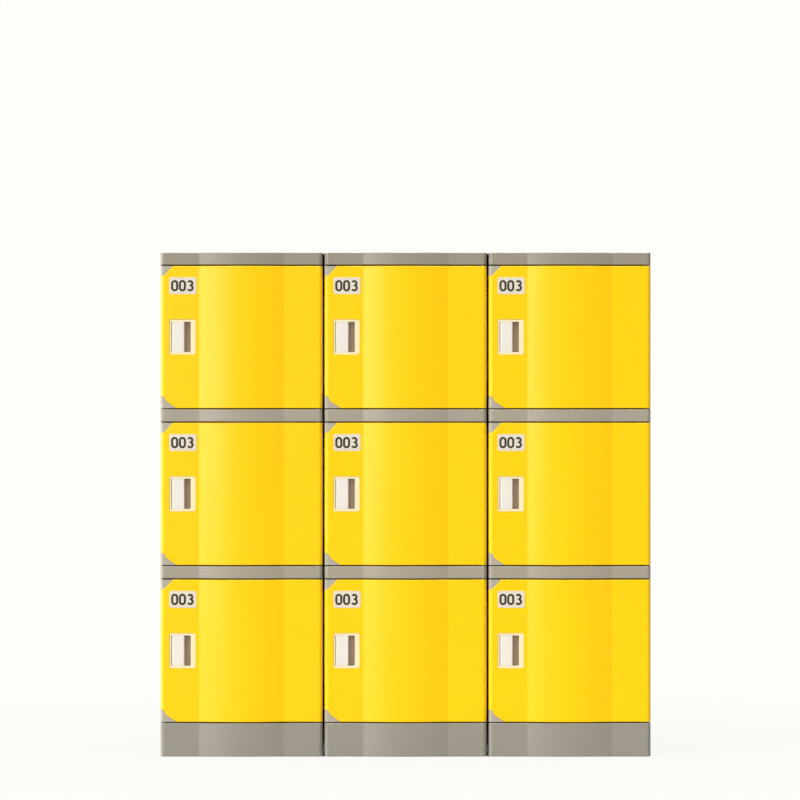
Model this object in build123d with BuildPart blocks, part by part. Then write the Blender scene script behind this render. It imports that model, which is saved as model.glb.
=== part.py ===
from build123d import *
import os

# Backpack locker unit: a free-standing bank of plastic lockers, three columns of three tiers.
# Millimetres. Origin at the centre of the underside, +Z up, doors facing -Y, +X to the right.
# Each column piece is drawn with its left edge at x = 0 and its flat front at y = 0.

# Layout
column_count = 3
tier_count = 3
column_width = 377.2
column_gap = 4.8
body_depth = 490.0
base_height = 77.5
band_height = 28.4
door_height = 331.0
door_gap = 2.8

# Front profile shared by the base, the bands and the doors
flat_margin = 90.0
bulge_rise = 10.0
edge_radius = 9.0
back_radius = 4.0
band_fillet = 1.6

# Side and back panels
panel_thickness = 10.0
panel_setback = 23.5
tongue_thickness = 4.0
tongue_height = 6.0
tongue_inset = 40.0
groove_clearance = 0.2
field_depth = 2.5
field_border = 42.0
field_rib = 12.0
field_count = 3
field_radius = 10.0
back_thickness = 4.0
back_inset = 10.0
back_tongue = 4.0
back_clearance = 0.15
vent_length = 60.0
vent_width = 6.0
vent_pitch = 16.0
vent_rows = 4
vent_spacing = 130.0
vent_drop = 70.0

# Base, shelves and top
base_wall = 12.0
base_deck = 10.0
shelf_rail = 20.0
shelf_nose = 24.0
shelf_deck = 7.0
web_thickness = 3.0
web_radius = 5.0
web_columns = 3
web_rows = 4

# Door
door_thickness = 22.0
cover_depth = 9.0
cover_skin = 2.5
cover_fillet = 1.6
shell_skin = 3.0
shell_wall = 6.0
shell_rib = 3.0
shell_rib_columns = 5
shell_rib_rows = 4
shell_rear_radius = 3.0
cover_fit = 0.2
pad_recess = 1.3
pad_fit = 0.3

# Clipped left corners of the cover, measured from the corner of the door
top_clip_width = 29.5
top_clip_height = 24.5
bottom_clip_width = 37.0
bottom_clip_height = 29.0
bottom_clip_knee_in = 14.0
bottom_clip_knee_up = 15.5
clip_shoulder = 8.0
clip_drop = 2.0
clip_radius = 5.0

# Door hinge
pin_radius = 3.0
pin_depth = 12.0
pin_clearance = 0.05
pin_seat_clearance = 0.02
pin_end_room = 0.5
collar_radius = 5.5
collar_clearance = 0.2
pin_passage = 1.0

# Number plate
number_plate_width = 63.0
number_plate_height = 39.5
number_plate_radius = 4.5
number_plate_thickness = 1.6
number_plate_seat = 1.2
number_plate_centre = 52.4
number_plate_drop = 46.0
plate_fit = 0.2

# Handle housing and latch paddle
housing_width = 61.0
housing_height = 82.0
housing_centre = 51.6
housing_recess = 1.0
housing_left_radius = 3.0
housing_right_radius = 6.0
housing_floor = 2.5
housing_edge = 0.8
frame_left = 4.0
frame_right = 11.6
frame_top = 5.4
frame_bottom = 6.0
pocket_radius = 2.0
ledge_height = 2.5
ledge_length = 11.0
ledge_clearance = 0.3
paddle_width = 30.4
paddle_side_gap = 0.5
paddle_end_gap = 0.4
paddle_thickness = 3.2
paddle_recess = 0.4
paddle_barrel = 4.8
paddle_lip = 8.0
paddle_nose = 2.8
trunnion_radius = 2.0
trunnion_length = 3.0
trunnion_clearance = 0.05
tail_width = 5.0
tail_height = 16.0
tail_window_room = 1.0
tail_swing = 6.8
hook_thickness = 5.4
hook_gap = 0.4
hook_edge = 1.2

# Latch keeper on the left side panel, its screws, and the ties between the columns
keeper_plate = 2.5
keeper_height = 40.0
keeper_length = 31.5
keeper_setback = 3.0
keeper_lip = 8.0
keeper_lip_thickness = 5.7
keeper_lip_height = 28.0
keeper_catch = 4.4
keeper_radius = 2.0
screw_spacing = 24.0
screw_inset = 11.0
screw_shank_radius = 1.6
screw_head_radius = 3.0
screw_head_height = 1.4
screw_length = 8.0
screw_slot_width = 0.9
screw_slot_depth = 0.7
tie_radius = 4.0
tie_clearance = 0.05
tie_flange_radius = 9.0
tie_head_radius = 7.0
tie_head_height = 2.5
tie_head_edge = 1.2
tie_front_inset = 20.0
tie_back_inset = 24.0
tie_height_inset = 50.0

# Places that follow from the sizes above
column_pitch = column_width + column_gap
overall_width = column_count * column_pitch - column_gap
front_y = bulge_rise - (body_depth + bulge_rise) / 2
panel_height = door_height + 2 * door_gap
tier_pitch = panel_height + band_height
panel_depth = body_depth - panel_setback
tongue_length = panel_depth - 2 * tongue_inset
door_middle = door_height / 2
pin_x = column_width - edge_radius
housing_back = door_thickness - shell_skin
housing_left = housing_centre - housing_width / 2
housing_right = housing_centre + housing_width / 2
housing_base = door_middle - housing_height / 2
pocket_left = housing_left + frame_left
pocket_right = housing_right - frame_right
pocket_low = housing_base + frame_bottom
pocket_high = housing_base + housing_height - frame_top
pocket_floor = housing_back - housing_floor
paddle_front = housing_recess + paddle_recess
paddle_pivot_x = pocket_left + paddle_side_gap + paddle_barrel
paddle_pivot_y = paddle_front + paddle_barrel
paddle_right = pocket_left + paddle_side_gap + paddle_width
keeper_y = panel_setback + keeper_setback
keeper_middle = door_gap + door_middle
hook_front = keeper_y + keeper_lip_thickness + hook_gap
hook_tip = panel_thickness + keeper_lip - keeper_catch
field_length = panel_depth - 2 * field_border
field_height = (panel_height - 2 * field_border - (field_count - 1) * field_rib) / field_count
reach = 2 * door_thickness
groove_depth = tongue_height + groove_clearance
bore_depth = pin_depth + pin_end_room
seat_radius = pin_radius + pin_seat_clearance


def column_x(column):
    return column * column_pitch - overall_width / 2


def tier_z(tier):
    return base_height + tier * tier_pitch


# Plan outline of a column: flat, a shallow round bulge, flat, with rounded front edges.
def front_profile(back, inset=0.0, rise=bulge_rise):
    radius = edge_radius - inset
    right = column_width - inset
    middle = column_width / 2
    bulge_start = (flat_margin, inset)
    bulge_end = (column_width - flat_margin, inset)
    with BuildSketch(Plane.XY) as profile:
        with BuildLine():
            CenterArc((edge_radius, edge_radius), radius, 180, 90)
            Line((edge_radius, inset), bulge_start)
            if rise:
                ThreePointArc(bulge_start, (middle, inset - rise), bulge_end)
            else:
                Line(bulge_start, bulge_end)
            Line(bulge_end, (pin_x, inset))
            CenterArc((pin_x, edge_radius), radius, 270, 90)
            Polyline((right, edge_radius), (right, back), (inset, back), (inset, edge_radius))
        make_face()
    return profile.sketch


# Solid band of the column: its full plan at one height, edges eased all round.
def column_block(height):
    with BuildPart() as block:
        with BuildSketch(Plane.XY) as plan:
            add(front_profile(body_depth))
            fillet(plan.vertices().group_by(Axis.Y)[-1], back_radius)
        extrude(amount=height)
        rims = block.faces().filter_by(Axis.Z).edges()
        fillet(rims, band_fillet)
    return block.part


# Outline of the grooves that the side panel tongues stand in.
def tongue_grooves(face_z):
    width = tongue_thickness + 2 * groove_clearance
    length = tongue_length + 2 * groove_clearance
    middle_y = panel_setback + panel_depth / 2
    centres = [panel_thickness / 2, column_width - panel_thickness / 2]
    with BuildSketch(Plane.XY.offset(face_z)) as grooves:
        with Locations(*[(x, middle_y) for x in centres]):
            Rectangle(width, length)
    return grooves.sketch


# Pockets between the stiffening webs on the underside of the base, the shelves and the top.
def web_pockets(side, front, rear):
    span_x = column_width - 2 * side
    span_y = body_depth - front - rear
    size_x = (span_x - (web_columns - 1) * web_thickness) / web_columns
    size_y = (span_y - (web_rows - 1) * web_thickness) / web_rows
    with BuildSketch(Plane.XY) as pockets:
        with Locations((column_width / 2, front + span_y / 2)):
            with GridLocations(size_x + web_thickness, size_y + web_thickness, web_columns, web_rows):
                RectangleRounded(size_x, size_y, web_radius)
    return pockets.sketch


# Circle about the axis that a door turns on.
def pin_circle(face_z, radius):
    with BuildSketch(Plane.XY.offset(face_z)) as circle:
        with Locations((pin_x, edge_radius)):
            Circle(radius)
    return circle.sketch


def make_base():
    with BuildPart() as base:
        add(column_block(base_height))
        pockets = web_pockets(base_wall, base_wall, base_wall)
        extrude(pockets, amount=base_height - base_deck, mode=Mode.SUBTRACT)
        extrude(tongue_grooves(base_height), amount=-groove_depth, mode=Mode.SUBTRACT)
        extrude(pin_circle(base_height, seat_radius), amount=-bore_depth, mode=Mode.SUBTRACT)
    return base.part


# Band with its underside pocketed, grooved for the panels below it and bored for the pin below it.
def make_top():
    with BuildPart() as top:
        add(column_block(band_height))
        pockets = web_pockets(shelf_rail, shelf_nose, shelf_rail)
        extrude(pockets, amount=band_height - shelf_deck, mode=Mode.SUBTRACT)
        extrude(tongue_grooves(0), amount=groove_depth, mode=Mode.SUBTRACT)
        extrude(pin_circle(0, seat_radius), amount=bore_depth, mode=Mode.SUBTRACT)
    return top.part


# A shelf is a top that also has grooves and a pin seat on its upper face.
def make_shelf():
    with BuildPart() as shelf:
        add(make_top())
        extrude(tongue_grooves(band_height), amount=-groove_depth, mode=Mode.SUBTRACT)
        extrude(pin_circle(band_height, seat_radius), amount=-bore_depth, mode=Mode.SUBTRACT)
    return shelf.part


# Places of the ties and of the keeper screws on a side panel, as (y, z).
def tie_places():
    ys = [panel_setback + tie_front_inset, body_depth - tie_back_inset]
    zs = [tie_height_inset, panel_height - tie_height_inset]
    return [(y, z) for y in ys for z in zs]


def screw_places():
    y = keeper_y + keeper_length - screw_inset
    return [(y, keeper_middle - screw_spacing / 2), (y, keeper_middle + screw_spacing / 2)]


# Left side panel, outer face at x = 0. A right panel is its mirror image.
def make_side_panel(tied, with_keeper):
    with BuildPart() as panel:
        with BuildSketch(Plane.XY):
            with Locations((0, panel_setback)):
                Rectangle(panel_thickness, panel_depth, align=Align.MIN)
        extrude(amount=panel_height)
        with BuildSketch(Plane.XY.offset(-tongue_height)):
            with Locations((panel_thickness / 2, panel_setback + panel_depth / 2)):
                Rectangle(tongue_thickness, tongue_length)
        extrude(amount=panel_height + 2 * tongue_height)
        with BuildSketch(Plane.YZ):
            with Locations((panel_setback + panel_depth / 2, panel_height / 2)):
                with GridLocations(1, field_height + field_rib, 1, field_count):
                    RectangleRounded(field_length, field_height, field_radius)
        extrude(amount=field_depth, mode=Mode.SUBTRACT)
        groove = back_thickness + 2 * back_clearance
        with BuildSketch(Plane.XY):
            with Locations((panel_thickness, body_depth - back_inset)):
                Rectangle(2 * (back_tongue + back_clearance), groove, align=(Align.CENTER, Align.MAX))
        extrude(amount=panel_height, mode=Mode.SUBTRACT)
        if tied:
            with BuildSketch(Plane.YZ):
                with Locations(*tie_places()):
                    Circle(tie_radius + tie_clearance)
            extrude(amount=panel_thickness, mode=Mode.SUBTRACT)
        if with_keeper:
            with BuildSketch(Plane.YZ.offset(panel_thickness)):
                with Locations(*screw_places()):
                    Circle(screw_shank_radius)
            extrude(amount=keeper_plate - screw_length, mode=Mode.SUBTRACT)
    return panel.part


def make_back_panel():
    width = column_width - 2 * (panel_thickness - back_tongue)
    height = panel_height - back_clearance
    far_y = body_depth - back_inset - back_clearance
    with BuildPart() as back:
        with BuildSketch(Plane.XY):
            with Locations((column_width / 2, far_y)):
                Rectangle(width, back_thickness, align=(Align.CENTER, Align.MAX))
        extrude(amount=height)
        with BuildSketch(Plane.XZ.offset(-far_y)):
            with Locations((column_width / 2, height - vent_drop)):
                with GridLocations(vent_spacing, vent_pitch, 2, vent_rows):
                    SlotOverall(vent_length, vent_width)
        extrude(amount=back_thickness, mode=Mode.SUBTRACT)
    return back.part


# Front view of the door with both left corners clipped. It runs past the sides, which the plan cuts.
def clipped_outline(grow):
    left = -edge_radius
    right = column_width + edge_radius
    top_shoulder = door_height - top_clip_height
    with BuildSketch(Plane.XZ.offset(reach)) as outline:
        with BuildLine():
            Polyline(
                (top_clip_width, door_height), (right, door_height), (right, 0), (bottom_clip_width, 0))
            FilletPolyline(
                (bottom_clip_width, 0),
                (bottom_clip_knee_in, bottom_clip_knee_up),
                (clip_shoulder, bottom_clip_height - clip_drop),
                (left, bottom_clip_height),
                radius=clip_radius,
            )
            Line((left, bottom_clip_height), (left, top_shoulder))
            FilletPolyline(
                (left, top_shoulder),
                (clip_shoulder, top_shoulder + clip_drop),
                (top_clip_width, door_height),
                radius=clip_radius,
            )
        make_face()
        if grow:
            offset(amount=grow, kind=Kind.INTERSECTION, mode=Mode.REPLACE)
    return outline.sketch


# Block of the door's own shape, drawn in from the outside by one distance on every side.
def door_block(inset, rise, back):
    with BuildPart() as block:
        extrude(front_profile(reach, inset, rise), amount=door_height)
        extrude(clipped_outline(-inset), amount=-reach - back, mode=Mode.INTERSECT)
    return block.part


# Edges of a door block that run round its front, without the upright ones and those at its back.
def front_rim(block):
    rim = []
    for edge in block.edges():
        middle = edge.center()
        flat_run = edge.geom_type == GeomType.LINE
        upright = flat_run and abs(edge.tangent_at(0.5).Z) > 0.999
        fore_aft = flat_run and abs(edge.tangent_at(0.5).Y) > 0.999
        if middle.Y < cover_depth - 0.01 and not upright and not fore_aft:
            rim.append(edge)
    return rim


def housing_outline(grow):
    with BuildSketch(Plane.XZ.offset(reach)) as outline:
        with Locations((housing_centre, door_middle)):
            Rectangle(housing_width + 2 * grow, housing_height + 2 * grow)
        fillet(outline.vertices().group_by(Axis.X)[0], housing_left_radius + grow)
        fillet(outline.vertices().group_by(Axis.X)[-1], housing_right_radius + grow)
    return outline.sketch


def make_door_cover():
    with BuildPart() as cover:
        add(door_block(0.0, bulge_rise, cover_depth))
        fillet(front_rim(cover.part), cover_fillet)
        add(door_block(cover_skin, bulge_rise, 2 * cover_depth), mode=Mode.SUBTRACT)
        extrude(housing_outline(plate_fit), amount=-2 * reach, mode=Mode.SUBTRACT)
        with BuildSketch(Plane.XZ):
            with Locations((number_plate_centre, door_height - number_plate_drop)):
                RectangleRounded(
                    number_plate_width + 2 * plate_fit,
                    number_plate_height + 2 * plate_fit,
                    number_plate_radius + plate_fit,
                )
        extrude(amount=-number_plate_seat, mode=Mode.SUBTRACT)
        extrude(pin_circle(0, pin_radius + pin_passage), amount=door_height, mode=Mode.SUBTRACT)
    return cover.part


# Grey pads that show where the cover's left corners are clipped.
def corner_pads():
    with BuildPart() as pads:
        with BuildSketch(Plane.XY):
            with BuildLine():
                pad_edge = cover_depth - pad_recess
                CenterArc((pad_edge, cover_depth), pad_edge, 180, 90)
                Polyline(
                    (pad_edge, pad_recess),
                    (2 * bottom_clip_width, pad_recess),
                    (2 * bottom_clip_width, cover_depth),
                    (0, cover_depth),
                )
            make_face()
        extrude(amount=door_height)
        extrude(clipped_outline(pad_fit), amount=-2 * reach, mode=Mode.SUBTRACT)
    return pads.part


def make_door_shell():
    field_width = column_width - shell_wall - 2 * edge_radius
    field_span = door_height - 2 * shell_wall
    cell_x = (field_width - (shell_rib_columns + 1) * shell_rib) / shell_rib_columns
    cell_z = (field_span - (shell_rib_rows - 1) * shell_rib) / shell_rib_rows
    with BuildPart() as shell:
        with BuildSketch(Plane.XY) as rear:
            with Locations((0, cover_depth)):
                Rectangle(pin_x, door_thickness - cover_depth, align=Align.MIN)
            rear_left = rear.vertices().group_by(Axis.Y)[-1].sort_by(Axis.X)[0]
            fillet(rear_left, shell_rear_radius)
            with Locations((pin_x, edge_radius)):
                Circle(edge_radius)
            with Locations((0, cover_depth)):
                Rectangle(2 * column_width, reach, align=(Align.CENTER, Align.MAX), mode=Mode.SUBTRACT)
        extrude(amount=door_height)
        add(door_block(cover_skin + cover_fit, 0.0, cover_depth))
        with BuildSketch(Plane.XZ.offset(reach)):
            with Locations((shell_wall + field_width / 2, door_middle)):
                with GridLocations(cell_x + shell_rib, cell_z + shell_rib, shell_rib_columns, shell_rib_rows):
                    Rectangle(cell_x, cell_z)
        extrude(amount=-reach - housing_back, mode=Mode.SUBTRACT)
        extrude(housing_outline(plate_fit), amount=-reach - housing_back, mode=Mode.SUBTRACT)
        extrude(tail_window(), amount=-2 * reach, mode=Mode.SUBTRACT)
        add(corner_pads())
        bore_radius = pin_radius + pin_clearance
        extrude(pin_circle(0, bore_radius), amount=bore_depth, mode=Mode.SUBTRACT)
        extrude(pin_circle(door_height, bore_radius), amount=-bore_depth, mode=Mode.SUBTRACT)
    return shell.part


# Opening in the housing floor and the door's rear face that the paddle's tail swings in.
def tail_window():
    left = paddle_pivot_x - tail_width / 2 - tail_window_room / 2
    right = paddle_pivot_x + tail_width / 2 + tail_swing
    with BuildSketch(Plane.XZ.offset(reach)) as window:
        with Locations(((left + right) / 2, door_middle)):
            Rectangle(right - left, tail_height + 2 * tail_window_room)
    return window.sketch


def make_handle_housing():
    with BuildPart() as housing:
        extrude(housing_outline(0.0), amount=-reach - housing_back)
        with BuildSketch(Plane.XZ.offset(reach)):
            Rectangle(4 * column_width, 4 * door_height)
        extrude(amount=-reach - housing_recess, mode=Mode.SUBTRACT)
        fillet(housing.faces().sort_by(Axis.Y)[0].edges(), housing_edge)
        with BuildSketch(Plane.XZ.offset(reach)) as pocket:
            with Locations((pocket_left, pocket_low)):
                Rectangle(pocket_right - pocket_left, pocket_high - pocket_low, align=Align.MIN)
            fillet(pocket.vertices().group_by(Axis.X)[-1], pocket_radius)
        extrude(amount=-reach - pocket_floor, mode=Mode.SUBTRACT)
        ledge_top = paddle_front + paddle_thickness + ledge_clearance
        with BuildSketch(Plane.XZ.offset(-ledge_top)):
            with Locations((paddle_right - paddle_lip, pocket_low)):
                Rectangle(ledge_length, ledge_height, align=(Align.MAX, Align.MIN))
            with Locations((paddle_right - paddle_lip, pocket_high)):
                Rectangle(ledge_length, ledge_height, align=(Align.MAX, Align.MAX))
        extrude(amount=-(pocket_floor - ledge_top))
        extrude(tail_window(), amount=-2 * reach, mode=Mode.SUBTRACT)
        with BuildSketch(Plane.XY.offset(pocket_low - trunnion_length)):
            with Locations((paddle_pivot_x, paddle_pivot_y)):
                Circle(trunnion_radius + trunnion_clearance)
        extrude(amount=pocket_high - pocket_low + 2 * trunnion_length, mode=Mode.SUBTRACT)
    return housing.part


def make_latch_paddle():
    low = pocket_low + paddle_end_gap
    high = pocket_high - paddle_end_gap
    tail_left = paddle_pivot_x - tail_width / 2
    hook_back = hook_front + hook_thickness
    with BuildPart() as paddle:
        with BuildSketch(Plane.XY.offset(low)) as section:
            with Locations((paddle_pivot_x, paddle_front)):
                Rectangle(paddle_right - paddle_pivot_x, paddle_thickness, align=Align.MIN)
            with Locations((paddle_right, paddle_front)):
                Rectangle(paddle_thickness, paddle_lip, align=(Align.MAX, Align.MIN))
            outer = section.vertices().group_by(Axis.X)[-1].sort_by(Axis.Y)
            fillet(outer[0], paddle_nose)
            with Locations((paddle_pivot_x, paddle_pivot_y)):
                Circle(paddle_barrel)
        extrude(amount=high - low)
        trunnion_base = pocket_low - trunnion_length + paddle_end_gap
        trunnion_top = pocket_high + trunnion_length - paddle_end_gap
        with BuildSketch(Plane.XY.offset(trunnion_base)):
            with Locations((paddle_pivot_x, paddle_pivot_y)):
                Circle(trunnion_radius)
        extrude(amount=trunnion_top - trunnion_base)
        with BuildSketch(Plane.XY.offset(door_middle - tail_height / 2)):
            with Locations((tail_left, paddle_pivot_y)):
                Rectangle(tail_width, hook_back - paddle_pivot_y, align=Align.MIN)
            with Locations((hook_tip, hook_front)):
                Rectangle(paddle_pivot_x - hook_tip, hook_thickness, align=Align.MIN)
        extrude(amount=tail_height)
        hook_corners = paddle.edges().filter_by(Axis.Z).group_by(Axis.X)[0]
        fillet(hook_corners, hook_edge)
    return paddle.part


def make_number_plate():
    back = number_plate_seat
    with BuildPart() as plate:
        with BuildSketch(Plane.XZ.offset(-back)):
            with Locations((number_plate_centre, door_height - number_plate_drop)):
                RectangleRounded(number_plate_width, number_plate_height, number_plate_radius)
        extrude(amount=number_plate_thickness)
        fillet(plate.faces().sort_by(Axis.Y)[0].edges(), number_plate_thickness / 4)
    return plate.part


# Steel pivot pin with a collar that stands in the gap under or over the door.
def make_hinge_pin(face_z, direction):
    with BuildPart() as pin:
        shank = pin_circle(face_z - direction * pin_depth, pin_radius)
        extrude(shank, amount=direction * (2 * pin_depth + door_gap))
        extrude(pin_circle(face_z, collar_radius), amount=direction * (door_gap - collar_clearance))
    return pin.part


def make_keeper():
    with BuildPart() as keeper:
        with BuildSketch(Plane.YZ.offset(panel_thickness)) as face:
            with Locations((keeper_y, keeper_middle)):
                Rectangle(keeper_length, keeper_height, align=(Align.MIN, Align.CENTER))
            fillet(face.vertices(), keeper_radius)
        extrude(amount=keeper_plate)
        with BuildSketch(Plane.YZ.offset(panel_thickness)):
            with Locations((keeper_y, keeper_middle)):
                Rectangle(keeper_lip_thickness, keeper_lip_height, align=(Align.MIN, Align.CENTER))
        extrude(amount=keeper_lip)
        for y, z in screw_places():
            with Locations(Plane(origin=(panel_thickness + keeper_plate, y, z), z_dir=(1, 0, 0))):
                CounterSinkHole(screw_shank_radius, screw_head_radius, depth=keeper_plate)
    return keeper.part


def make_screw(y, z):
    head_x = panel_thickness + keeper_plate
    with BuildPart() as screw:
        with BuildSketch(Plane.YZ.offset(head_x)):
            with Locations((y, z)):
                Circle(screw_head_radius)
        with BuildSketch(Plane.YZ.offset(head_x - screw_head_height)):
            with Locations((y, z)):
                Circle(screw_shank_radius)
        loft()
        with BuildSketch(Plane.YZ.offset(head_x - screw_head_height)):
            with Locations((y, z)):
                Circle(screw_shank_radius)
        extrude(amount=screw_head_height - screw_length)
        with BuildSketch(Plane.YZ.offset(head_x)):
            with Locations((y, z)):
                Rectangle(screw_head_radius, screw_slot_width)
                Rectangle(screw_slot_width, screw_head_radius)
        extrude(amount=-screw_slot_depth, mode=Mode.SUBTRACT)
    return screw.part


# Moulded tie through two neighbouring side panels, drawn about the middle of the column gap.
def make_tie(y, z):
    half = column_gap / 2
    grip = half + panel_thickness
    with BuildPart() as tie:
        with BuildSketch(Plane.YZ.offset(-grip)):
            with Locations((y, z)):
                Circle(tie_radius)
        extrude(amount=2 * grip)
        with BuildSketch(Plane.YZ.offset(-half)):
            with Locations((y, z)):
                Circle(tie_flange_radius)
        extrude(amount=column_gap)
        for start, way in [(grip, 1), (-grip, -1)]:
            with BuildSketch(Plane.YZ.offset(start)):
                with Locations((y, z)):
                    Circle(tie_head_radius)
            extrude(amount=way * tie_head_height)
        ends = tie.faces().filter_by(Axis.X).sort_by(Axis.X)
        fillet(ends[0].edges() + ends[-1].edges(), tie_head_edge)
    return tie.part


def place(piece, column, z):
    return piece.moved(Location((column_x(column), front_y, z)))


def write(label, pieces):
    node = pieces[0] if len(pieces) == 1 else Compound(children=pieces)
    node.label = label
    export_step(node, f"parts/{label}.step")


os.makedirs("parts", exist_ok=True)

columns = range(column_count)
tiers = range(tier_count)

# Carcass pieces, one node for each column, or one for all where they are many and alike
base = make_base()
shelf = make_shelf()
top = make_top()
back_panel = make_back_panel()
middle_plane = Plane.YZ.offset(column_width / 2)
for column in columns:
    write(f"base_plinth_{column + 1}", [place(base, column, 0)])
    write(f"top_panel_{column + 1}", [place(top, column, tier_z(tier_count) - band_height)])
    left_panel = make_side_panel(column > 0, True)
    right_panel = mirror(make_side_panel(column < column_count - 1, False), about=middle_plane)
    panels = [place(panel, column, tier_z(tier)) for tier in tiers for panel in (left_panel, right_panel)]
    write(f"side_panels_{column + 1}", panels)
shelf_levels = [tier_z(tier) + panel_height for tier in tiers[:-1]]
write("shelf_panels", [place(shelf, column, z) for column in columns for z in shelf_levels])
write("back_panels", [place(back_panel, column, tier_z(tier)) for column in columns for tier in tiers])

# Doors, numbered from the top left, row by row
cover = make_door_cover()
shell = make_door_shell()
housing = make_handle_housing()
paddle = make_latch_paddle()
number_plate = make_number_plate()
for row in tiers:
    tier = tier_count - 1 - row
    for column in columns:
        number = row * column_count + column + 1
        door_z = tier_z(tier) + door_gap
        write(f"door_cover_{number}", [place(cover, column, door_z)])
        write(f"door_shell_{number}", [place(shell, column, door_z)])
        write(f"handle_housing_{number}", [place(housing, column, door_z)])
        write(f"latch_paddle_{number}", [place(paddle, column, door_z)])
        write(f"number_plate_{number}", [place(number_plate, column, door_z)])

# Hardware that is alike on every compartment
pin_pair = [make_hinge_pin(0, 1), make_hinge_pin(panel_height, -1)]
screw_pair = [make_screw(y, z) for y, z in screw_places()]
keeper = make_keeper()
tie_set = [make_tie(y, z) for y, z in tie_places()]
cells = [(column, tier_z(tier)) for column in columns for tier in tiers]
joints = [(column, tier_z(tier)) for column in columns[1:] for tier in tiers]
write("hinge_pins", [place(pin, column, z) for column, z in cells for pin in pin_pair])
write("latch_keepers", [place(keeper, column, z) for column, z in cells])
write("keeper_screws", [place(screw, column, z) for column, z in cells for screw in screw_pair])
gap_shift = Location((-column_gap / 2, 0, 0))
ties = [place(tie.moved(gap_shift), column, z) for column, z in joints for tie in tie_set]
write("column_ties", ties)
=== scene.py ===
import math

import bmesh
import bpy
from mathutils import Matrix, Vector


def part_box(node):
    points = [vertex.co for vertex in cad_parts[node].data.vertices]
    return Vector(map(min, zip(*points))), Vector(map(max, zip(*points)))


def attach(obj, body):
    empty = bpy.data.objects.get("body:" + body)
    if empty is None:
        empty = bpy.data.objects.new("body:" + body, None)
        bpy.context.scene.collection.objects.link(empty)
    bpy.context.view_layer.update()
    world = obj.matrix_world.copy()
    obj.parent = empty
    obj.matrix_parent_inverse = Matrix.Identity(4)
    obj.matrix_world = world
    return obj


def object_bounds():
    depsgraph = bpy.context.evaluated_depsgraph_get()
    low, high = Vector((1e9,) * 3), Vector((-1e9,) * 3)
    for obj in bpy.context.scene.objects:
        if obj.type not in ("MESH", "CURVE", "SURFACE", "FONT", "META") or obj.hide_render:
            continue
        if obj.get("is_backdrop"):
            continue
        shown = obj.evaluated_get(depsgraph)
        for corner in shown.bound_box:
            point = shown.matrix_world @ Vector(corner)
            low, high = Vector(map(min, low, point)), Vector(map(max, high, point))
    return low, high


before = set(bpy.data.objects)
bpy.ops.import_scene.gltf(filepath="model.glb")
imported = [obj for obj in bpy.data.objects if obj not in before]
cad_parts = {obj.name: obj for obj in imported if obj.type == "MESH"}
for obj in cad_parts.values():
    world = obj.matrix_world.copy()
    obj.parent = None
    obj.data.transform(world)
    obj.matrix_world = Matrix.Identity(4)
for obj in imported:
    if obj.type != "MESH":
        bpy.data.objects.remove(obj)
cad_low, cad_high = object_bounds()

# The carcass: plinths, shelves, tops, side and back panels, injection moulded in warm grey
# ABS. Each moulding of the unit has a fine spark-eroded grain, and a colour and a gloss that
# drift a little over a hand's width. The side panels stand in grooves between the bands.
columns = 3
drift_scale = 5.0
drift_detail = 3.0
grain_detail = 2.0
noise_middle = 0.5
gloss_drift = 0.12
moulded_specular = 0.17


def moulded_finish_group():
    """The finish that all the mouldings share, each material with its own values."""
    group = bpy.data.node_groups.new("moulded_finish", "ShaderNodeTree")
    face = group.interface
    face.new_socket("Colour", in_out="INPUT", socket_type="NodeSocketColor")
    face.new_socket("Drift", in_out="INPUT", socket_type="NodeSocketFloat")
    face.new_socket("Grain Scale", in_out="INPUT", socket_type="NodeSocketFloat")
    face.new_socket("Grain Depth", in_out="INPUT", socket_type="NodeSocketFloat")
    face.new_socket("Roughness", in_out="INPUT", socket_type="NodeSocketFloat")
    face.new_socket("Colour", in_out="OUTPUT", socket_type="NodeSocketColor")
    face.new_socket("Roughness", in_out="OUTPUT", socket_type="NodeSocketFloat")
    face.new_socket("Normal", in_out="OUTPUT", socket_type="NodeSocketVector")
    nodes = group.nodes
    link = group.links.new
    given = nodes.new("NodeGroupInput")
    result = nodes.new("NodeGroupOutput")
    place = nodes.new("ShaderNodeTexCoord")

    flow = nodes.new("ShaderNodeTexNoise")
    flow.inputs["Scale"].default_value = drift_scale
    flow.inputs["Detail"].default_value = drift_detail
    link(place.outputs["Object"], flow.inputs["Vector"])
    centred = nodes.new("ShaderNodeMath")
    centred.operation = "SUBTRACT"
    centred.inputs[1].default_value = noise_middle
    link(flow.outputs["Fac"], centred.inputs[0])
    swing = nodes.new("ShaderNodeMath")
    swing.operation = "MULTIPLY_ADD"
    swing.inputs[2].default_value = 1.0
    link(centred.outputs[0], swing.inputs[0])
    link(given.outputs["Drift"], swing.inputs[1])
    tint = nodes.new("ShaderNodeHueSaturation")
    link(given.outputs["Colour"], tint.inputs["Color"])
    link(swing.outputs[0], tint.inputs["Value"])
    link(tint.outputs["Color"], result.inputs["Colour"])

    grain = nodes.new("ShaderNodeTexNoise")
    grain.inputs["Detail"].default_value = grain_detail
    link(place.outputs["Object"], grain.inputs["Vector"])
    link(given.outputs["Grain Scale"], grain.inputs["Scale"])
    raised = nodes.new("ShaderNodeMath")
    raised.operation = "MULTIPLY"
    link(grain.outputs["Fac"], raised.inputs[0])
    link(given.outputs["Grain Depth"], raised.inputs[1])
    bump = nodes.new("ShaderNodeBump")
    bump.inputs["Strength"].default_value = 1.0
    bump.inputs["Distance"].default_value = 1.0
    link(raised.outputs[0], bump.inputs["Height"])
    link(bump.outputs["Normal"], result.inputs["Normal"])

    shine = nodes.new("ShaderNodeMath")
    shine.operation = "MULTIPLY_ADD"
    shine.inputs[1].default_value = gloss_drift
    link(centred.outputs[0], shine.inputs[0])
    link(given.outputs["Roughness"], shine.inputs[2])
    link(shine.outputs[0], result.inputs["Roughness"])
    return group


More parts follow.
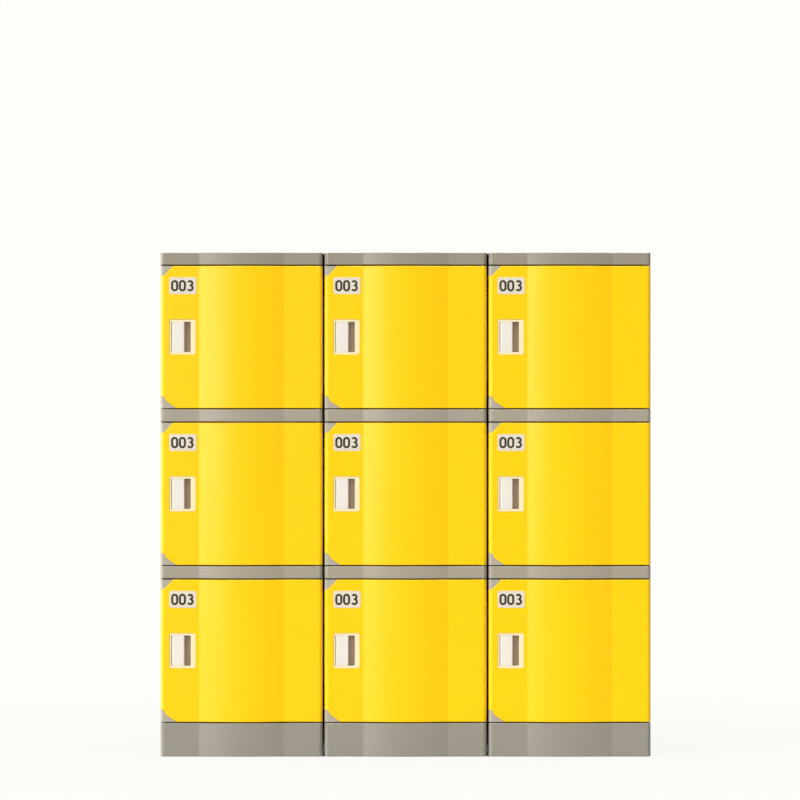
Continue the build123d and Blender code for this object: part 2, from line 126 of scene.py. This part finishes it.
finish_group = moulded_finish_group()


def srgb(red, green, blue):
    """A colour of 0 to 255 as the shaders take it."""
    def linear(level):
        level = level / 255
        return level / 12.92 if level <= 0.04045 else ((level + 0.055) / 1.055) ** 2.4
    return (linear(red), linear(green), linear(blue), 1.0)


def moulded_plastic(name, colour, drift, grain_scale, grain_depth, roughness):
    material = bpy.data.materials.new(name)
    material.use_nodes = True
    nodes = material.node_tree.nodes
    link = material.node_tree.links.new
    shader = nodes["Principled BSDF"]
    finish = nodes.new("ShaderNodeGroup")
    finish.node_tree = finish_group
    finish.inputs["Colour"].default_value = colour
    finish.inputs["Drift"].default_value = drift
    finish.inputs["Grain Scale"].default_value = grain_scale
    finish.inputs["Grain Depth"].default_value = grain_depth
    finish.inputs["Roughness"].default_value = roughness
    link(finish.outputs["Colour"], shader.inputs["Base Color"])
    link(finish.outputs["Roughness"], shader.inputs["Roughness"])
    link(finish.outputs["Normal"], shader.inputs["Normal"])
    shader.inputs["Specular IOR Level"].default_value = moulded_specular
    return material


# The fronts of the carcass and doors: flat at the sides, with one shallow round bulge down
# the middle. A shallow crease runs down each end of the bulge, in the bands and covers alike.
flat_margin = 0.090
bulge_rise = 0.010
front_depth = 0.003
crease_width = 0.0002
crisp_angle = 22
weld_reach = 0.00001
door_front = cad_low[1] + bulge_rise
bulge_ends = []
for column in range(1, columns + 1):
    low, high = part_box(f"base_plinth_{column}")
    bulge_ends += [low.x + flat_margin, high.x - flat_margin]


def bulge_end_of(point):
    """Which of the creases beside the bulges a point of a front face lies on, if any."""
    if point.y > door_front + front_depth:
        return None
    for index, crease in enumerate(bulge_ends):
        if abs(point.x - crease) < crease_width:
            return index
    return None


def dress(node, material):
    """Gives a CAD node its material, and shades its curved faces smooth with crisp edges."""
    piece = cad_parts[node]
    mesh = piece.data
    mesh.materials.clear()
    mesh.materials.append(material)
    if "custom_normal" in mesh.attributes:
        mesh.attributes.remove(mesh.attributes["custom_normal"])
    mesh.polygons.foreach_set("use_smooth", [True] * len(mesh.polygons))
    mesh.polygons.foreach_set("material_index", [0] * len(mesh.polygons))
    places = [bulge_end_of(vertex.co) for vertex in mesh.vertices]
    for edge in mesh.edges:
        first, second = edge.vertices
        edge.use_edge_sharp = places[first] is not None and places[first] == places[second]
    weld = piece.modifiers.new("join_faces", "WELD")
    weld.merge_threshold = weld_reach
    crisp = piece.modifiers.new("crisp_edges", "EDGE_SPLIT")
    crisp.split_angle = math.radians(crisp_angle)
    crisp.use_edge_sharp = True
    even = piece.modifiers.new("even_faces", "WEIGHTED_NORMAL")
    even.mode = "FACE_AREA"
    even.keep_sharp = True


grey_grain = {"drift": 0.05, "grain_scale": 1400, "grain_depth": 0.000006, "roughness": 0.30}
carcass_grey = moulded_plastic("carcass_grey", srgb(146, 141, 130), **grey_grain)
top_grey = moulded_plastic("top_grey", srgb(148, 140, 123), **grey_grain)
band_grey = moulded_plastic("band_grey", srgb(160, 152, 135), **grey_grain)
for column in range(1, columns + 1):
    dress(f"base_plinth_{column}", carcass_grey)
    dress(f"top_panel_{column}", top_grey)
    dress(f"side_panels_{column}", carcass_grey)
dress("back_panels", carcass_grey)
dress("shelf_panels", band_grey)

# The column gaps: dark ties hold the columns side by side, and a soft near-black strip
# of painted shade fills the gap between neighbouring tops, so that the gap stays dark
# up to its top edge.
# The near-black of the column gaps' shade, which the ties wear too.
gap_shade_dark = srgb(34, 33, 31)
tie_grain = {"drift": 0.05, "grain_scale": 1400, "grain_depth": 0.000006, "roughness": 0.5}
tie_black = moulded_plastic("tie_black", gap_shade_dark, **tie_grain)
strip_grain = {"drift": 0.05, "grain_scale": 2200, "grain_depth": 0.00001, "roughness": 0.6}
# Painted shade: the near-black strip stands where the gap between the tops lies in shade.
strip_painted_shade = moulded_plastic("strip_painted_shade", gap_shade_dark, **strip_grain)
strip_drop = 0.0012
strip_height = 0.009
strip_setback = 0.0095
strip_room = 0.0001
strip_sides = 24
strip_rim = 0.0008


def place_shade_strip(name, low, high):
    """A near-black strip of painted shade, of rounded section, that fills a box, with its length
    along Y.
    """
    strip = bmesh.new()
    bmesh.ops.create_circle(strip, cap_ends=True, segments=strip_sides, radius=0.5)
    drawn = bmesh.ops.extrude_face_region(strip, geom=list(strip.faces))
    far_end = [part for part in drawn["geom"] if isinstance(part, bmesh.types.BMVert)]
    bmesh.ops.translate(strip, vec=(0, 0, 1), verts=far_end)
    bmesh.ops.rotate(strip, matrix=Matrix.Rotation(math.radians(90), 3, "X"), verts=strip.verts)
    bmesh.ops.scale(strip, vec=high - low, verts=strip.verts)
    centre = (low + high) / 2
    bmesh.ops.translate(strip, vec=(centre.x, high.y, centre.z), verts=strip.verts)
    rims = [edge for edge in strip.edges if any(len(face.verts) > 4 for face in edge.link_faces)]
    bmesh.ops.bevel(
        strip, geom=rims, affect="EDGES", offset=strip_rim, segments=2, profile=0.5, material=-1)
    bmesh.ops.recalc_face_normals(strip, faces=strip.faces)
    mesh = bpy.data.meshes.new(name)
    strip.to_mesh(mesh)
    strip.free()
    mesh.polygons.foreach_set("use_smooth", [True] * len(mesh.polygons))
    mesh.materials.append(strip_painted_shade)
    piece = bpy.data.objects.new(name, mesh)
    bpy.context.scene.collection.objects.link(piece)
    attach(piece, "carcass")


dress("column_ties", tie_black)
for column in range(1, columns):
    left_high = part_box(f"top_panel_{column}")[1]
    right_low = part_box(f"top_panel_{column + 1}")[0]
    strip_top = left_high.z - strip_drop
    strip_front = door_front + strip_setback
    strip_low = Vector((left_high.x + strip_room, strip_front, strip_top - strip_height))
    strip_high = Vector((right_low.x - strip_room, left_high.y - strip_setback, strip_top))
    place_shade_strip(f"gap_strip_{column}", strip_low, strip_high)

# The door shells: the grey inner moulding behind each yellow cover. It shows at the two
# clipped corners, at the door's rounded edge and on its rear face, a shade lighter there.
cells = 9
shell_grey = moulded_plastic("shell_grey", srgb(172, 165, 148), **grey_grain)
for cell in range(1, cells + 1):
    dress(f"door_shell_{cell}", shell_grey)

# The door covers: bright yellow skins, moulded with a smoother, satin face than the grey
# pieces, so that the shallow bulge down the middle catches the light on its left slope.
cover_grain = {"drift": 0.01, "grain_scale": 1800, "grain_depth": 0.000003, "roughness": 0.28}
cover_yellow = moulded_plastic("cover_yellow", srgb(254, 202, 0), **cover_grain)
for cell in range(1, cells + 1):
    dress(f"door_cover_{cell}", cover_yellow)

# The handle: a cream housing pressed into the cover, with a finger slot in it, and an ivory
# paddle on trunnions that the fingertips pull forward. Both are smooth satin mouldings. The
# walls and floor of the well that the fingertips reach into are painted a darker brown-grey,
# as painted shade for the deep pocket.
satin_grain = {"drift": 0.02, "grain_scale": 1800, "grain_depth": 0.000004, "roughness": 0.34}
housing_cream = moulded_plastic("housing_cream", srgb(239, 225, 183), **satin_grain)
paddle_ivory = moulded_plastic("paddle_ivory", srgb(228, 222, 210), **satin_grain)
well_grain = {"drift": 0.03, "grain_scale": 1400, "grain_depth": 0.000006, "roughness": 0.45}
# Painted shade: this brown-grey stands in for the shade deep in the finger pocket.
well_painted_shade = moulded_plastic("well_painted_shade", srgb(202, 180, 154), **well_grain)
frame_left = 0.004
frame_right = 0.0116
frame_top = 0.0054
frame_bottom = 0.006
well_lip = 0.0022
well_depth = 0.0180
wall_room = 0.0002
left_wall = 0.0005


def paint_well_shade(node):
    """Paints the walls and floor of the pocket behind the housing's frame darker, as painted shade.
    """
    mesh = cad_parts[node].data
    low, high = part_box(node)
    mesh.materials.append(well_painted_shade)
    for face in mesh.polygons:
        across = low.x + frame_left + left_wall < face.center.x < high.x - frame_right + wall_room
        along = low.z + frame_bottom - wall_room < face.center.z < high.z - frame_top + wall_room
        if across and along and low.y + well_lip < face.center.y < low.y + well_depth:
            face.material_index = 1


for cell in range(1, cells + 1):
    dress(f"handle_housing_{cell}", housing_cream)
    paint_well_shade(f"handle_housing_{cell}")
    dress(f"latch_paddle_{cell}", paddle_ivory)

# The number plates: small off-white plates with rounded corners, let into the cover's top
# left. Each has the same plain number, printed in a thick dark rounded stroke.
matt_grain = {"drift": 0.03, "grain_scale": 1500, "grain_depth": 0.00002, "roughness": 0.5}
plate_white = moulded_plastic("plate_white", srgb(219, 209, 189), **matt_grain)
ink_grain = {"drift": 0.10, "grain_scale": 2500, "grain_depth": 0.00002, "roughness": 0.55}
ink_dark = moulded_plastic("ink_dark", srgb(48, 42, 34), **ink_grain)
plate_number = "003"
digit_stroke = 0.0054
digit_height = 0.0270
digit_pitch = 0.0180
digit_half_width = 0.0058
digit_raise = 0.0003
digit_shift = -0.0012
stroke_roundness = 3
arc_steps = 14
three_top_share = 0.47
three_reach = 150


def arc_points(centre_z, radius, start, end):
    points = []
    for step in range(arc_steps + 1):
        angle = math.radians(start + (end - start) * step / arc_steps)
        points.append((radius * math.cos(angle), centre_z + radius * math.sin(angle)))
    return points


def digit_path(digit):
    """Middle line of a digit's stroke, as (x, z) about its centre, and whether it is closed."""
    half = (digit_height - digit_stroke) / 2
    if digit == "0":
        shoulder = half - digit_half_width
        path = arc_points(shoulder, digit_half_width, 180, 0)
        path += arc_points(-shoulder, digit_half_width, 0, -180)
        return path, True
    upper = half * three_top_share
    lower = half - upper
    path = arc_points(half - upper, upper, three_reach, -90)
    path += arc_points(-half + lower, lower, 90, -three_reach)[1:]
    return path, False


def print_number(name, number, centre, body):
    pieces = []
    for index, digit in enumerate(number):
        path, closed = digit_path(digit)
        shift = (index - (len(number) - 1) / 2) * digit_pitch
        curve = bpy.data.curves.new(name, "CURVE")
        curve.dimensions = "3D"
        curve.bevel_depth = digit_stroke / 2
        curve.bevel_resolution = stroke_roundness
        curve.use_fill_caps = True
        line = curve.splines.new("POLY")
        line.points.add(len(path) - 1)
        for point, (x, z) in zip(line.points, path):
            point.co = (x + shift, 0, z, 1)
        line.use_cyclic_u = closed
        pieces.append(bpy.data.objects.new(name, curve))
    joined = bmesh.new()
    for piece in pieces:
        bpy.context.scene.collection.objects.link(piece)
        bpy.context.view_layer.update()
        drawn = bpy.data.meshes.new_from_object(piece)
        joined.from_mesh(drawn)
        bpy.data.objects.remove(piece)
    flatten = digit_raise / digit_stroke * 2
    bmesh.ops.transform(joined, matrix=Matrix.Diagonal((1, flatten, 1, 1)), verts=joined.verts)
    bmesh.ops.translate(joined, vec=centre, verts=joined.verts)
    bmesh.ops.recalc_face_normals(joined, faces=joined.faces)
    mesh = bpy.data.meshes.new(name)
    joined.to_mesh(mesh)
    joined.free()
    mesh.polygons.foreach_set("use_smooth", [True] * len(mesh.polygons))
    mesh.materials.append(ink_dark)
    number_piece = bpy.data.objects.new(name, mesh)
    bpy.context.scene.collection.objects.link(number_piece)
    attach(number_piece, body)


for cell in range(1, cells + 1):
    dress(f"number_plate_{cell}", plate_white)
    low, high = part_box(f"number_plate_{cell}")
    face_centre = Vector(((low.x + high.x) / 2 + digit_shift, low.y, (low.z + high.z) / 2))
    print_number(f"plate_digits_{cell}", plate_number, face_centre, f"door_{cell}")

# The latch keepers: off-white nylon brackets on the left side panels that the paddle's hook
# catches behind. They show only when a door stands open.
keeper_nylon = moulded_plastic("keeper_nylon", srgb(222, 219, 208), **matt_grain)
dress("latch_keepers", keeper_nylon)

# The hinge pins and keeper screws: steel with a fine turned streak. The screws are bright
# zinc, and the pins blackened, so that their collars do not show in the gaps at the doors.
streak_stretch = (200, 200, 3000)
bright_roughness = 0.25
dull_roughness = 0.42


def turned_steel(name, dark_tone, light_tone):
    material = bpy.data.materials.new(name)
    material.use_nodes = True
    nodes = material.node_tree.nodes
    link = material.node_tree.links.new
    shader = nodes["Principled BSDF"]
    shader.inputs["Metallic"].default_value = 1.0
    place = nodes.new("ShaderNodeTexCoord")
    stretch = nodes.new("ShaderNodeMapping")
    stretch.inputs["Scale"].default_value = streak_stretch
    streak = nodes.new("ShaderNodeTexNoise")
    streak.inputs["Scale"].default_value = 1.0
    shade = nodes.new("ShaderNodeMapRange")
    shade.inputs["To Min"].default_value = bright_roughness
    shade.inputs["To Max"].default_value = dull_roughness
    tone = nodes.new("ShaderNodeMix")
    tone.data_type = "RGBA"
    tone.inputs["A"].default_value = dark_tone
    tone.inputs["B"].default_value = light_tone
    link(place.outputs["Object"], stretch.inputs["Vector"])
    link(stretch.outputs["Vector"], streak.inputs["Vector"])
    link(streak.outputs["Fac"], shade.inputs["Value"])
    link(streak.outputs["Fac"], tone.inputs["Factor"])
    link(shade.outputs["Result"], shader.inputs["Roughness"])
    link(tone.outputs["Result"], shader.inputs["Base Color"])
    return material


dress("hinge_pins", turned_steel("blackened_steel", srgb(40, 38, 36), srgb(62, 60, 57)))
dress("keeper_screws", turned_steel("zinc_steel", srgb(188, 188, 186), srgb(214, 213, 209)))

# The lamps: a soft key lamp high on the left and a weak fill on the right. Three bright cards
# light nothing and only show in glossy faces: on the bulge's left slope, down the rounded
# left edges and along the top edges.
key_azimuth = -52
key_elevation = 30
key_strength = 3.35
key_spread = 16
fill_azimuth = 65
fill_elevation = 12
fill_strength = 0.45
fill_spread = 50
card_distance = 12.0
card_middle = 1.0
sheen_azimuth = -28
sheen_size = (6.0, 9.0)
sheen_power = 1450.0
edge_azimuth = -88
edge_size = (5.0, 9.0)
edge_power = 4200.0
top_height = 7.0
top_size = (9.0, 7.0)
top_power = 6000.0


def direction_to(azimuth, elevation):
    turn = math.radians(azimuth)
    rise = math.radians(elevation)
    return Vector((math.sin(turn) * math.cos(rise), -math.cos(turn) * math.cos(rise), math.sin(rise)))


def hang_lamp(name, lamp, place, towards):
    holder = bpy.data.objects.new(name, lamp)
    holder.location = place
    holder.rotation_euler = towards.to_track_quat("Z", "Y").to_euler()
    bpy.context.scene.collection.objects.link(holder)


def hang_sun(name, azimuth, elevation, strength, spread):
    lamp = bpy.data.lights.new(name, "SUN")
    lamp.energy = strength
    lamp.angle = math.radians(spread)
    hang_lamp(name, lamp, (0, 0, 0), direction_to(azimuth, elevation))


def hang_card(name, place, towards, size, power):
    card = bpy.data.lights.new(name, "AREA")
    card.shape = "RECTANGLE"
    card.size, card.size_y = size
    card.energy = power
    hang_lamp(name, card, place, towards)
    bpy.data.objects[name].visible_diffuse = False


hang_sun("key_lamp", key_azimuth, key_elevation, key_strength, key_spread)
hang_sun("fill_lamp", fill_azimuth, fill_elevation, fill_strength, fill_spread)
middle = Vector((0, 0, card_middle))
sheen_side = direction_to(sheen_azimuth, 0)
hang_card("sheen_card", sheen_side * card_distance + middle, sheen_side, sheen_size, sheen_power)
edge_side = direction_to(edge_azimuth, 0)
hang_card("edge_card", edge_side * card_distance + middle, edge_side, edge_size, edge_power)
hang_card("top_card", Vector((0, 0, top_height)), Vector((0, 0, 1)), top_size, top_power)

# The surround: white, and weak as a light. The camera, glass and glossy faces see it at the
# backdrop's own colour.
backdrop_colour = srgb(253, 254, 250)
surround_strength = 0.46
world = bpy.data.worlds.new("surround")
bpy.context.scene.world = world
world.use_nodes = True
sky = world.node_tree.nodes
sky_link = world.node_tree.links.new
path = sky.new("ShaderNodeLightPath")
lit = sky["Background"]
lit.inputs["Color"].default_value = (1.0, 1.0, 1.0, 1.0)
lit.inputs["Strength"].default_value = surround_strength
shown = sky.new("ShaderNodeBackground")
shown.inputs["Color"].default_value = backdrop_colour
shown.inputs["Strength"].default_value = 1.0
seen = sky.new("ShaderNodeMath")
seen.operation = "MAXIMUM"
seen_or_mirrored = sky.new("ShaderNodeMath")
seen_or_mirrored.operation = "MAXIMUM"
choice = sky.new("ShaderNodeMixShader")
sky_link(path.outputs["Is Camera Ray"], seen.inputs[0])
sky_link(path.outputs["Is Transmission Ray"], seen.inputs[1])
sky_link(seen.outputs[0], seen_or_mirrored.inputs[0])
sky_link(path.outputs["Is Glossy Ray"], seen_or_mirrored.inputs[1])
sky_link(seen_or_mirrored.outputs[0], choice.inputs["Fac"])
sky_link(lit.outputs[0], choice.inputs[1])
sky_link(shown.outputs[0], choice.inputs[2])
sky_link(choice.outputs[0], sky["World Output"].inputs["Surface"])

# The floor: wide, and nearly white to the camera. It keeps a soft shade round the unit, and
# under the unit it keeps its own grey, so that the gap between two plinths stays dark.
floor_size = 30.0
floor_tone = 0.30
floor_roughness = 0.9
floor_shadow = 0.08
shade_start = 0.4
shade_reach = 2.2
plinth_edge = 0.004
floor_mesh = bpy.data.meshes.new("floor")
floor_shape = bmesh.new()
bmesh.ops.create_grid(floor_shape, x_segments=1, y_segments=1, size=floor_size)
floor_shape.to_mesh(floor_mesh)
floor_shape.free()
floor = bpy.data.objects.new("floor", floor_mesh)
bpy.context.scene.collection.objects.link(floor)
floor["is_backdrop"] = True
floor.visible_glossy = False
floor_paint = bpy.data.materials.new("floor_paint")
floor_paint.use_nodes = True
floor_nodes = floor_paint.node_tree.nodes
floor_link = floor_paint.node_tree.links.new
painted = floor_nodes["Principled BSDF"]
painted.inputs["Base Color"].default_value = (floor_tone, floor_tone, floor_tone, 1.0)
painted.inputs["Roughness"].default_value = floor_roughness
glow = floor_nodes.new("ShaderNodeEmission")
glow.inputs["Color"].default_value = backdrop_colour
seen_by_camera = floor_nodes.new("ShaderNodeLightPath")
spot = floor_nodes.new("ShaderNodeTexCoord")
reach = floor_nodes.new("ShaderNodeVectorMath")
reach.operation = "LENGTH"
fade = floor_nodes.new("ShaderNodeMapRange")
fade.interpolation_type = "SMOOTHSTEP"
fade.inputs["From Min"].default_value = shade_start
fade.inputs["From Max"].default_value = shade_reach
fade.inputs["To Min"].default_value = 1 - floor_shadow
sides = floor_nodes.new("ShaderNodeSeparateXYZ")
floor_link(spot.outputs["Object"], reach.inputs[0])
floor_link(spot.outputs["Object"], sides.inputs[0])
floor_link(reach.outputs["Value"], fade.inputs["Value"])
clear_of_unit = []
for axis, half_extent in (("X", cad_high[0]), ("Y", cad_high[1])):
    away = floor_nodes.new("ShaderNodeMath")
    away.operation = "ABSOLUTE"
    beyond = floor_nodes.new("ShaderNodeMath")
    beyond.operation = "GREATER_THAN"
    beyond.inputs[1].default_value = half_extent - plinth_edge
    floor_link(sides.outputs[axis], away.inputs[0])
    floor_link(away.outputs[0], beyond.inputs[0])
    clear_of_unit.append(beyond)
outside = floor_nodes.new("ShaderNodeMath")
outside.operation = "MAXIMUM"
floor_link(clear_of_unit[0].outputs[0], outside.inputs[0])
floor_link(clear_of_unit[1].outputs[0], outside.inputs[1])
pale = floor_nodes.new("ShaderNodeMath")
pale.operation = "MULTIPLY"
floor_link(fade.outputs["Result"], pale.inputs[0])
floor_link(outside.outputs[0], pale.inputs[1])
share = floor_nodes.new("ShaderNodeMath")
share.operation = "MULTIPLY"
floor_link(seen_by_camera.outputs["Is Camera Ray"], share.inputs[0])
floor_link(pale.outputs[0], share.inputs[1])
floor_choice = floor_nodes.new("ShaderNodeMixShader")
floor_link(share.outputs[0], floor_choice.inputs["Fac"])
floor_link(painted.outputs[0], floor_choice.inputs[1])
floor_link(glow.outputs[0], floor_choice.inputs[2])
floor_link(floor_choice.outputs[0], floor_nodes["Material Output"].inputs["Surface"])
floor_mesh.materials.append(floor_paint)

# The camera: a long lens straight in front, a little left of the middle and above the unit's
# half height, set so that one pixel of the 800 pixel frame is 2.327 mm at the door fronts.
frame_pixels = 800
pixel_size = 0.002327
unit_centre_pixel = 405.6
unit_base_pixel = 756.4
camera_distance = 9.0
sensor_width = 36.0
camera_reach = 100.0
camera_x = (frame_pixels / 2 - unit_centre_pixel) * pixel_size
camera_z = (unit_base_pixel - frame_pixels / 2) * pixel_size
camera_data = bpy.data.cameras.new("camera")
camera_data.sensor_width = sensor_width
camera_data.lens = sensor_width * camera_distance / (frame_pixels * pixel_size)
camera_data.clip_end = camera_reach
camera = bpy.data.objects.new("camera", camera_data)
camera.location = (camera_x, door_front - camera_distance, camera_z)
camera.rotation_euler = (math.radians(90), 0, 0)
bpy.context.scene.collection.objects.link(camera)
bpy.context.scene.camera = camera
bpy.context.scene.view_settings.view_transform = "Standard"

low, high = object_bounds()
